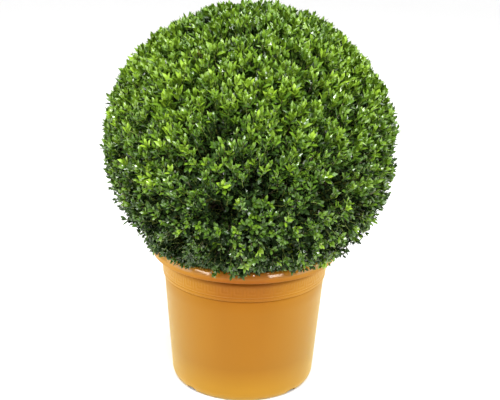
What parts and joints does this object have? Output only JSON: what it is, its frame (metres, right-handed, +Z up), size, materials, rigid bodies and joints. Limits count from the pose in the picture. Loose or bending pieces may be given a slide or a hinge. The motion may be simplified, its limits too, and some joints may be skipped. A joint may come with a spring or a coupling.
{
  "type": "box topiary ball in a pot",
  "caption": "Evergreen box shrub clipped to a ball, on a short stem, in a round tapered plastic pot with a broad rim and a key-pattern collar.",
  "frame": {"origin": "centre of the pot's underside, on the surface the pot stands on", "axes": "+Z up along the pot's axis; the pictured side faces -Y, and +X is to its right"},
  "size_m": [0.5268, 0.5235, 0.7111],
  "materials": {
    "pot_plastic": "satin ochre moulded plastic",
    "compost": "matt, moist, crumbly",
    "bark": "matt, finely cracked bark",
    "leaves": "small glossy evergreen leaves"
  },
  "bodies": {
    "root": {"pot": "pot_plastic", "compost": "compost", "stem": "bark", "foliage_ball": "leaves"}
  },
  "joints": []
}
